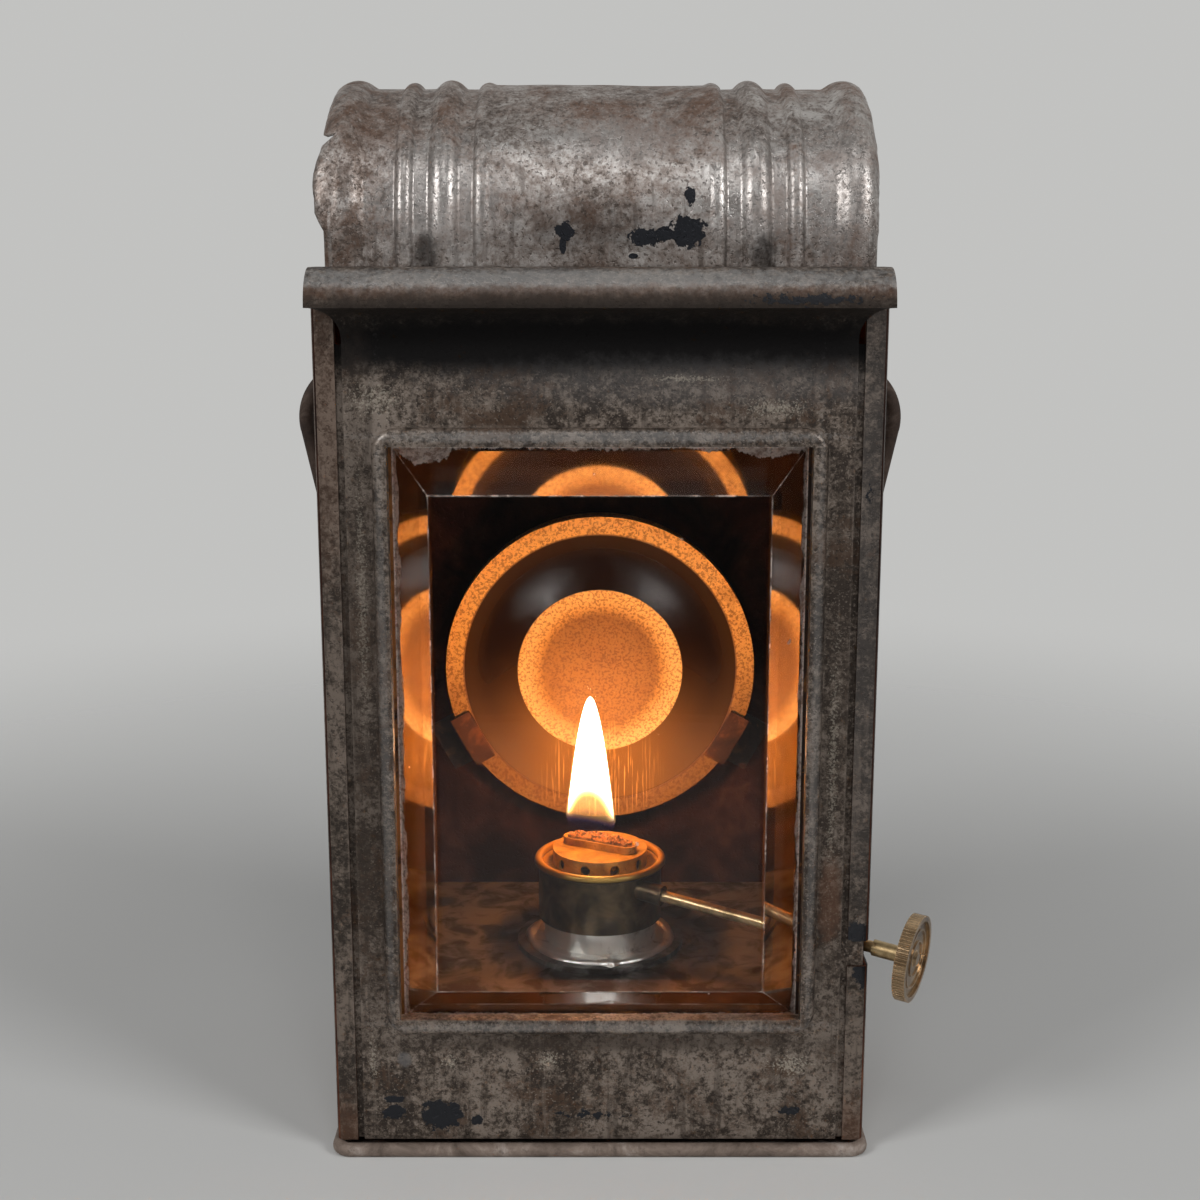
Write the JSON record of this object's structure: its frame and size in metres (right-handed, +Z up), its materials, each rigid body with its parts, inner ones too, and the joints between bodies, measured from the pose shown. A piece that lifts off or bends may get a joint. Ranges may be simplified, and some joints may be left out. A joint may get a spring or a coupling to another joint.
{
  "type": "oil hand lantern",
  "caption": "Tinned oil hand lantern: lifting front with bevelled glass, ribbed barrel hood, pressed reflector, flat-wick burner wound by a side knob, and folding wire handles at the back.",
  "frame": {"origin": "on the table under the middle of the body, in the plane that the base stands on", "axes": "+Z up; the glazed front faces -Y; +X is the side with the wick knob"},
  "size_m": [0.143, 0.09, 0.2197],
  "materials": {
    "tin_body": "aged tinned sheet, stained and dull",
    "tin_hood": "aged tinned sheet with rust bloom",
    "tin_inside": "smoke-darkened tinned sheet",
    "tin_reflector": "dull polished tin",
    "tin_bright": "soldered bright tin",
    "rusty_iron": "rusted iron",
    "old_brass": "aged brass",
    "clear_glass": "polished, ground bevels",
    "wick_cotton": "woven cotton, charred at the top"
  },
  "bodies": {
    "body": {"body_shell": "tin_body", "base_plate": "rusty_iron", "slide_guide_left": "tin_inside", "slide_guide_right": "tin_inside", "flue_plate": "tin_inside", "smoke_baffle": "tin_inside", "hood": "tin_hood", "hood_end_left": "tin_inside", "hood_end_right": "tin_inside", "reflector": "tin_reflector", "reflector_clip_left": "tin_inside", "reflector_clip_right": "tin_inside", "fount_tank": "tin_inside", "fount_top": "tin_bright", "fount_collar": "tin_bright", "burner_plug": "old_brass", "burner_drum": "old_brass", "burner_cap": "old_brass", "wick_tube": "old_brass", "spindle_bush": "old_brass", "handle_plate": "rusty_iron", "handle_rivets": "rusty_iron"},
    "front_slide": {"front_panel": "tin_body", "glass_frame": "tin_inside", "glass_pane": "clear_glass"},
    "wick_adjuster": {"spindle": "old_brass", "spur_wheels": "old_brass", "knob": "old_brass", "knob_rivet": "old_brass"},
    "wick": {"wick": "wick_cotton"},
    "left_handle": {"handle_left": "rusty_iron"},
    "right_handle": {"handle_right": "rusty_iron"}
  },
  "joints": [
    {"name": "front_slide_lift", "type": "slide", "parent": "body", "child": "front_slide", "axis": [0, 0, 1], "range_m": [0, 0.15]},
    {"name": "wick_knob_turn", "type": "hinge", "parent": "body", "child": "wick_adjuster", "pos_m": [-0.0021, -0.00409, 0.0493], "axis": [0.887, -0.4545, -0.0819], "range_deg": [-120, 150]},
    {"name": "wick_raise", "type": "slide", "parent": "body", "child": "wick", "axis": [0, 0, 1], "range_m": [-0.0065, 0.008]},
    {"name": "left_handle_fold", "type": "hinge", "parent": "body", "child": "left_handle", "pos_m": [-0.026, 0.04083, 0.124], "axis": [0, 0, -1], "range_deg": [0, 105]},
    {"name": "right_handle_fold", "type": "hinge", "parent": "body", "child": "right_handle", "pos_m": [0.026, 0.04083, 0.124], "axis": [0, 0, 1], "range_deg": [0, 105]}
  ],
  "couplings": [
    {"joint": "wick_raise", "follows": "wick_knob_turn", "m_per_rad": 0.003}
  ]
}
